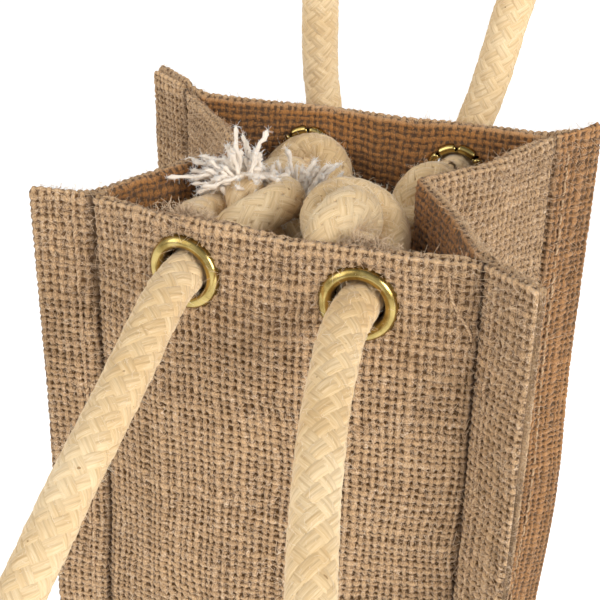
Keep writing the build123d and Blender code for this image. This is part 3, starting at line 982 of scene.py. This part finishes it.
def make_knots():
    middle = KNOT_LINE[len(KNOT_LINE) // 2 - 24:len(KNOT_LINE) // 2 + 24].mean(axis=0)
    for number, (place, (centre, lean, roll)) in enumerate(KNOTS.items()):
        rng = np.random.default_rng(SEED + 80 + number)
        centre = mm(centre)
        handle = "front_handle" if place.startswith("front") else "back_handle"
        ends = ROPE_LINES[handle]
        leaving = ends[:8] if place.endswith("left") else ends[::-1][:8]
        throat = leaving[0]
        turn = Vector(lean).to_track_quat("X", "Z").to_matrix()
        turn = turn @ Matrix.Rotation(math.radians(roll), 3, "X")
        line = (KNOT_LINE - middle) @ np.array(turn).T
        away = np.linalg.norm(line, axis=1)
        first_point = np.flatnonzero(away < KNOT_REACH)[0]
        last_point = np.flatnonzero(away < TAIL_REACH)[-1]
        line = line[first_point:last_point + 1] + centre
        way = unit(leaving[0] - leaving[-1])
        first = unit(line[0] - line[2])
        reach = 0.45 * np.linalg.norm(line[0] - throat)
        link = bezier(throat, throat + way * reach, line[0] + first * reach, line[0], 24)
        whole = np.concatenate([link[:-1], line])
        route = evenly(whole, KNOT_ROUTE_STEP)
        whole = evenly(spline_points(place + "_knot_line", route), LINE_STEP)
        KNOT_LINES[place] = whole
        builder = Builder()
        add_braid(builder, whole, rng, swell=0.16, round_end=True)
        if place in FILLED:
            share = np.linspace(-1, 1, 9)
            plug, faces = tube(throat - way * ((9.0 + share * 2.6) * MM)[:, None],
                               5.2 * MM * (1 - share ** 4 * 0.6), 24)
            builder.add(plug, [faces], np.full(plug.shape, 0.25))
        build_on_bag(builder, place + "_overhand_knot", ROPE, "rope", place + "_knot")
        fuzz = Builder()
        add_rope_fuzz(fuzz, whole, 2200, rng)
        build_on_bag(fuzz, place + "_knot_fuzz", COTTON_FIBRE, "rope")


make_knots()


# ---- Frayed rope ends ----
def make_yarn(name):
    """Loose cotton yarn: cream where it leaves the rope, white and fluffy at its end."""
    s = Shade(name)
    along, around, own = s.detail()
    fibres = s.noise(s.vector(s.mul(around, 9.0), s.mul(along, 14.0), s.mul(own, 7.7)), 1.0, 3.0, 0.6)
    root = s.mix(fibres, rgb(214, 172, 118), rgb(240, 216, 176))
    end = s.mix(fibres, rgb(230, 211, 188), rgb(255, 247, 235))
    colour = s.mix(s.ramp(along, 0.08, 0.5), root, end)
    s.bump(fibres, 0.25 * MM, 0.6)
    return s.finish(colour, 0.9, Sheen_Weight=0.4, Sheen_Roughness=0.5, Specular_IOR_Level=0.2)


YARN = make_yarn("loose_cotton")
YARN_FLUFF = make_fibre("cotton_fluff", rgb(246, 240, 230), rgb(252, 249, 246), rgb(255, 253, 250))

# The loose ends beyond each knot: how many yarns, where they lean, how long, and how curly
TUFTS = {
    "front_left": (
        (26, (-1.0, -0.15, -0.12), 18 * MM, 0.9),
        (44, (-0.8, 0.2, 0.22), 13 * MM, 2.0),
        (60, (-0.9, 0.4, 0.55), 10 * MM, 2.6),
        (1, (-0.1, 0.0, 3.0), 15 * MM, 0.1),
        (1, (0.75, 0.0, 3.0), 15 * MM, 0.1),
        (14, (0.8, -0.3, 0.05), 11 * MM, 1.1),
    ),
    "front_right": ((26, (-0.5, -0.4, -0.1), 5 * MM, 1.4),),
    "back_left": (
        (20, (-0.2, -0.4, 0.9), 14 * MM, 0.9),
        (18, (0.7, -0.3, 1.2), 16 * MM, 0.8),
        (14, (-0.8, -0.8, -0.1), 12 * MM, 1.3),
    ),
    "back_right": ((18, (-0.3, -0.2, 0.3), 6 * MM, 1.0),),
}
YARN_RADIUS = 0.47 * MM
YARN_STEPS = 22


def make_tufts():
    for number, (place, groups) in enumerate(TUFTS.items()):
        rng = np.random.default_rng(SEED + 120 + number)
        line = KNOT_LINES[place]
        end = line[-1]
        way = unit(line[-1] - line[-8])
        across = unit(np.cross(way, [0.2, 0.9, 0.4]))
        other = np.cross(way, across)
        yarns, fluff = Builder(), Builder()
        for count, lean, length, curl in groups:
            lean = unit(np.array(lean))
            for _ in range(count):
                angle, out = rng.random() * 2 * math.pi, 3.2 * MM * math.sqrt(rng.random())
                spot = end - way * 1.5 * MM + turned(across, other, np.array(angle)) * out
                heading = unit(way + 0.15 * rng.normal(0, 1, 3))
                drift = rng.normal(0, 1, 3)
                own = length * (0.7 + 0.45 * rng.random())
                points = [spot]
                for i in range(YARN_STEPS):
                    share = i / YARN_STEPS
                    pull = lean * (0.32 + 0.1 * share) + curl * 0.12 * drift
                    wander = curl * 0.16 * rng.normal(0, 1, 3)
                    heading = unit(heading + pull * min(1, share * 4) + wander)
                    points.append(points[-1] + heading * own / YARN_STEPS)
                points = np.array(points)
                share = np.linspace(0, 1, len(points))
                club = 1 + 3.0 * np.clip(share - 0.8, 0, 1)
                radii = YARN_RADIUS * (0.75 + 0.25 * rng.random()) * club
                radii = radii * (1 + 0.12 * rng.normal(0, 1, len(points)))
                radii[-1] *= 0.35
                radii[0] *= 0.5
                add_tube(yarns, points, radii, 7, share, rng.random() * 9)
                hairs = 36
                pick = len(points) - 1 - (rng.random(hairs) ** 2 * 12).astype(int)
                ways = heading * 0.8 + rng.normal(0, 0.8, (hairs, 3))
                add_hairs(fluff, points[pick], ways, (0.6 + 1.3 * rng.random(hairs)) * MM,
                          0.055 * MM, rng, 2.0)
        build_on_bag(yarns, place + "_frayed_yarns", YARN, "cotton", place + "_frayed_end")
        build_on_bag(fluff, place + "_fray_fluff", YARN_FLUFF, "cotton")


make_tufts()


# ---- Brass eyelets ----
def make_brass():
    """Lacquered brass with fine scratches and a dull tint in patches."""
    s = Shade("brass")
    cloud = s.noise(s.place(), 260.0, 3.0)
    scratch = s.noise(s.scaled((900.0, 5000.0, 1700.0)), 1.0, 4.0, 0.7)
    colour = s.mix(s.ramp(cloud, 0.35, 0.75), rgb(190, 168, 106), rgb(126, 104, 52))
    roughness = s.ramp(s.add(s.mul(cloud, 0.5), s.mul(scratch, 0.5)), 0.3, 0.7, 0.14, 0.28)
    s.bump(scratch, 0.03 * MM, 0.25)
    return s.finish(colour, roughness, Metallic=1.0)


BRASS = make_brass()
# Half of the eyelet's section, from its outer edge over the dome and down the barrel:
# distance from the axis and height above the cloth, in millimetres
EYELET_SECTION = [
    (7.75, -0.1), (8.0, 0.15), (8.0, 0.5), (7.75, 0.95), (7.3, 1.3), (6.75, 1.5), (6.2, 1.42),
    (5.75, 1.1), (5.48, 0.6), (5.36, 0.0), (5.3, -1.0), (5.3, -2.2), (5.3, -3.3),
]
# A petal's section, from the barrel's end as it rolls back over the inner cloth
PETAL_SECTION = [
    (5.35, -2.9), (5.45, -3.7), (5.85, -4.25), (6.45, -4.4), (7.0, -4.1), (7.3, -3.55), (7.35, -3.1),
]
PETALS = 8
RING_POINTS = 96


def smooth_section(points, count):
    """A smooth line through a few points of a section."""
    points = np.array(points) * MM
    padded = np.concatenate([[2 * points[0] - points[1]], points, [2 * points[-1] - points[-2]]])
    out = []
    for i in range(1, len(padded) - 2):
        p0, p1, p2, p3 = padded[i - 1:i + 3]
        for t in np.arange(count) / count:
            out.append(0.5 * (2 * p1 + (p2 - p0) * t + (2 * p0 - 5 * p1 + 4 * p2 - p3) * t ** 2
                              + (3 * p1 - p0 - 3 * p2 + p3) * t ** 3))
    out.append(points[-1])
    return np.array(out)


def swept(section, out, normal):
    """A section's points in some directions out from an axis along normal."""
    return out * section[:, 0][:, None, None] + normal * section[:, 1][:, None, None]


def make_eyelets():
    for wall_name, places in WALL_EYELETS.items():
        wall = WALLS[wall_name]
        for place in places:
            centre = np.array(box_centre(place + "_eyelet"))
            along = wall.places
            seam = wall.seam(along, np.full(len(along), EYELET_HEIGHT))
            spot = along[np.argmin(np.linalg.norm(seam[:, :2] - centre[:2], axis=1))]
            origin = wall.on(spot, EYELET_HEIGHT, -0.1 * MM)
            normal = wall.outward(np.array(spot), np.array(EYELET_HEIGHT))
            level = np.cross([0, 0, 1], normal)
            upright = np.cross(normal, level)
            builder = Builder()
            angle = np.arange(RING_POINTS) / RING_POINTS * 2 * math.pi
            round_ways = turned(level, upright, angle)
            section = smooth_section(EYELET_SECTION, 4)
            inner = section[::-1] + np.array([0.35, 0]) * MM
            inner = inner[inner[:, 1] < 0.05 * MM]
            shell = np.concatenate([section, inner])
            points = origin + swept(shell, round_ways[None], normal)
            builder.add(points, [grid_faces(len(shell), RING_POINTS, True)], np.zeros(points.shape))
            petal = smooth_section(PETAL_SECTION, 4)
            thick = 0.17 * MM
            run = unit(np.gradient(petal, axis=0))
            side = np.stack([-run[:, 1], run[:, 0]], 1)
            for i in range(PETALS):
                middle = (i + 0.5) * 2 * math.pi / PETALS
                reach = 0.36 * np.sqrt(np.clip(1 - np.linspace(0, 0.97, len(petal)) ** 4, 0, 1))
                across = np.linspace(-1, 1, 9)
                spread = middle + across[None] * reach[:, None]
                out = turned(level, upright, spread)
                over, under = (origin + swept(petal + side * thick * way, out, normal)
                               for way in (1, -1))
                ring = np.concatenate([over, under[:, ::-1]], axis=1)
                builder.add(ring, [grid_faces(len(petal), 18, True)], np.zeros(ring.shape))
            build_on_bag(builder, place + "_brass_eyelet", BRASS, "brass", place + "_eyelet")


make_eyelets()


# ---- Stitching, loose jute fibres and the base ----
def make_thread(name):
    """Spun sewing thread, a little paler than the cloth."""
    s = Shade(name)
    along, around, own = s.detail()
    ply = s.noise(s.vector(s.add(s.mul(around, 3.0), s.mul(along, 2.6)), s.mul(along, 0.5), own), 1.6)
    colour = s.mix(s.ramp(ply, 0.35, 0.65), rgb(140, 108, 76), rgb(204, 174, 138))
    s.bump(ply, 0.2 * MM, 0.5)
    return s.finish(colour, 0.8, Sheen_Weight=0.15, Specular_IOR_Level=0.25)


THREAD = make_thread("thread")
THREAD_RADIUS = 0.33 * MM
STITCH = 3.3 * MM
STITCH_GAP = 0.7 * MM
FIN_STITCH_SHARE = 0.3


def add_stitches(builder, points_at, start, end, rng):
    """Short threads in a row that dip into the cloth at both ends; points_at(t, lift) is on it."""
    place = start
    while place + STITCH < end:
        t = np.linspace(place, place + STITCH * (1 + 0.05 * rng.normal()), 8)
        share = np.linspace(0, 1, 8)
        lift = (np.sin(share * math.pi) ** 0.6 - 0.45) * 0.55 * MM
        line = points_at(t, lift + 0.12 * MM * rng.normal())
        radius = THREAD_RADIUS * (1 + 0.08 * rng.normal())
        add_tube(builder, line, radius, 7, t / MM, rng.random() * 9)
        place += STITCH + STITCH_GAP


def add_loose_thread(builder, wall):
    """A thread's end that hangs in a loop beside the seam's groove."""
    t = np.linspace(0, 1, 30)
    along = wall.last - (7.0 - 9.0 * t ** 2 + 3.5 * t ** 6) * MM
    z = HEIGHT - (4.0 + 13.5 * t) * MM
    line = wall.on(along, z, (0.5 + 1.6 * np.sin(t * math.pi)) * MM)
    add_tube(builder, line, THREAD_RADIUS * 0.75, 7, t * 14, 0.4)


CORNERS = {
    "front_left": ("left_gusset", "front_panel"),
    "front_right": ("front_panel", "right_gusset"),
    "back_right": ("right_gusset", "back_panel"),
    "back_left": ("back_panel", "left_gusset"),
}


def make_stitching():
    for number, (place, (ends, starts)) in enumerate(CORNERS.items()):
        rng = np.random.default_rng(SEED + 160 + number)
        builder = Builder()
        for name, at_end in ((ends, True), (starts, False)):
            wall = WALLS[name]
            if at_end:
                along = wall.last + (wall.length - wall.last) * FIN_STITCH_SHARE
            else:
                along = wall.first * (1 - FIN_STITCH_SHARE)

            def on_fin(z, lift, wall=wall, along=along):
                return wall.on(np.full(len(z), along), z, lift)

            add_stitches(builder, on_fin, 6 * MM, HEIGHT - 3 * MM, rng)
        if place == "front_right":
            add_loose_thread(builder, WALLS[ends])
        build_on_bag(builder, place + "_seam_thread", THREAD, "thread", place + "_stitching")
    rng = np.random.default_rng(SEED + 170)
    builder = Builder()
    for wall in WALLS.values():

        def on_foot(along, lift, wall=wall):
            return wall.on(along, np.full(len(along), 5.3 * MM), lift)

        add_stitches(builder, on_foot, wall.first + 3 * MM, wall.last - 3 * MM, rng)
    build_on_bag(builder, "foot_seam_thread", THREAD, "thread", "base_stitching")


make_stitching()


# Where the hem's raw edge comes undone on the inside, in millimetres, and how many fibres show
RAW_EDGES = {
    "front_panel": (((-14.5, -38.5, 347.3), 1300), ((24.0, -38.0, 347.0), 1500)),
}


def make_jute_hairs():
    """Stray fibres on the walls, more of them near the mouth, and tufts where the hem's raw edge comes
    undone.
    """
    for number, (name, wall) in enumerate(WALLS.items()):
        rng = np.random.default_rng(SEED + 200 + number)
        builder = Builder()
        count = 4200
        along = rng.random(count) * (wall.length - 1 * MM) + 0.5 * MM
        z = HEIGHT - 2 * MM - rng.random(count) ** 1.6 * (HEIGHT - 8 * MM)
        roots = wall.on(along, z, 0.15 * MM)
        out = wall.outward(along, z)
        ways = out * 0.22 + rng.normal(0, 1, (count, 3)) * np.array([0.55, 0.55, 0.6])
        flat = (ways * out).sum(axis=1)
        ways += out * np.where(flat < 0.1, 0.15 - flat, 0)[:, None]
        add_hairs(builder, roots, ways, (1.5 + 4.0 * rng.random(count) ** 1.5) * MM, 0.055 * MM, rng, 0.8)
        count = 420
        along = rng.random(count) * (wall.length - 2 * MM) + 1 * MM
        roots = wall.on(along, wall.top(along), -CLOTH + (rng.random(count) - 0.3) * 1.2 * MM)
        ways = np.array([0, 0, 0.25]) + rng.normal(0, 0.8, (count, 3))
        add_hairs(builder, roots, ways, (1.0 + 2.4 * rng.random(count) ** 2) * MM, 0.05 * MM, rng, 0.9)
        for centre, amount in RAW_EDGES.get(name, ()):
            amount = amount
            roots = mm(centre) + rng.normal(0, 1, (amount, 3)) * np.array([2.6, 0.8, 1.2]) * MM
            ways = rng.normal(0, 1, (amount, 3)) + np.array([0, 0.3, 0.9])
            add_hairs(builder, roots, ways, (1.5 + 1.6 * rng.random(amount)) * MM, 0.11 * MM, rng, 3.2)
        build_on_bag(builder, name + "_fibres", JUTE_FIBRE, "jute")


make_jute_hairs()


def make_base():
    """The base panel: a flat piece of the same cloth."""
    low, high = BASE_LOW, BASE_HIGH
    step = 1.2 * MM
    xs = np.linspace(low.x, high.x, round((high.x - low.x) / step))
    ys = np.linspace(low.y, high.y, round((high.y - low.y) / step))
    x, y = np.meshgrid(xs, ys)
    a, b = x / YARN_PITCH, y / YARN_PITCH
    edge = np.minimum(np.minimum(x - low.x, high.x - x), np.minimum(y - low.y, high.y - y))
    half = 0.7 * MM * np.sqrt(np.clip(1 - (1 - np.clip(edge / (1.2 * MM), 0, 1)) ** 2, 0, 1))
    relief = weave_height(a, b) * YARN_PITCH * 0.4
    middle = 0.85 * MM
    rows, columns = x.shape
    builder = Builder()
    top = np.stack([x, y, middle + half + relief * (half > 0)], -1)
    bottom = np.stack([x, y, middle - half], -1)
    notes = np.stack([a, b, np.ones(x.shape)], -1)
    builder.add(top, [grid_faces(rows, columns)], notes)
    builder.add(bottom, [grid_faces(rows, columns)[:, ::-1]], notes)
    piece = build_on_bag(builder, "base_cloth", JUTE, "jute", "base_panel")


make_base()


# ---- Floor and light ----
FLOOR_REACH = 60             # metres each way, so that its edge lies close to the horizon


def make_stage():
    s = Shade("floor")
    material = s.finish((0.95, 0.95, 0.95, 1), 0.9, Emission_Strength=0.6)
    s.shader.inputs["Emission Color"].default_value = (1, 1, 1, 1)
    mesh = bpy.data.meshes.new("floor")
    reach = FLOOR_REACH
    corners = [(-reach, -reach, 0), (reach, -reach, 0), (reach, reach, 0), (-reach, reach, 0)]
    mesh.from_pydata(corners, [], [(0, 1, 2, 3)])
    mesh.materials.append(material)
    floor = put_in_scene("floor", mesh)
    floor.location.z = -0.3 * MM


def make_lamp(name, place, target, size, power):
    data = bpy.data.lights.new(name, "AREA")
    data.size = size
    data.energy = power
    lamp = put_in_scene(name, data)
    lamp.location = place
    direction = Vector(target) - Vector(place)
    lamp.rotation_euler = direction.to_track_quat("-Z", "Y").to_euler()


# The studio is darker towards this side, which the eyelets mirror
DARK_SIDE = (0.55, 0.35, 0.75)


def make_light():
    scene = bpy.context.scene
    scene.view_settings.view_transform = "Standard"
    world = bpy.data.worlds.new("studio")
    scene.world = world
    world.use_nodes = True
    nodes, links = world.node_tree.nodes, world.node_tree.links
    facing = nodes.new("ShaderNodeVectorMath")
    facing.operation = "DOT_PRODUCT"
    facing.inputs[1].default_value = DARK_SIDE
    links.new(nodes.new("ShaderNodeTexCoord").outputs["Generated"], facing.inputs[0])
    ramp = nodes.new("ShaderNodeMapRange")
    ramp.interpolation_type = "SMOOTHSTEP"
    links.new(facing.outputs["Value"], ramp.inputs[0])
    for socket, value in zip(list(ramp.inputs)[1:5], (0.1, 0.75, 0.78, 0.22)):
        socket.default_value = value
    nodes["Background"].inputs[0].default_value = (1, 1, 1, 1)
    links.new(ramp.outputs[0], nodes["Background"].inputs[1])
    make_lamp("key", (1.4, -0.7, 0.9), (0, 0, 0.3), 0.8, 22)
    make_lamp("fill", (-0.9, -0.9, 1.1), (0, 0, 0.3), 1.0, 8)


make_stage()
make_light()
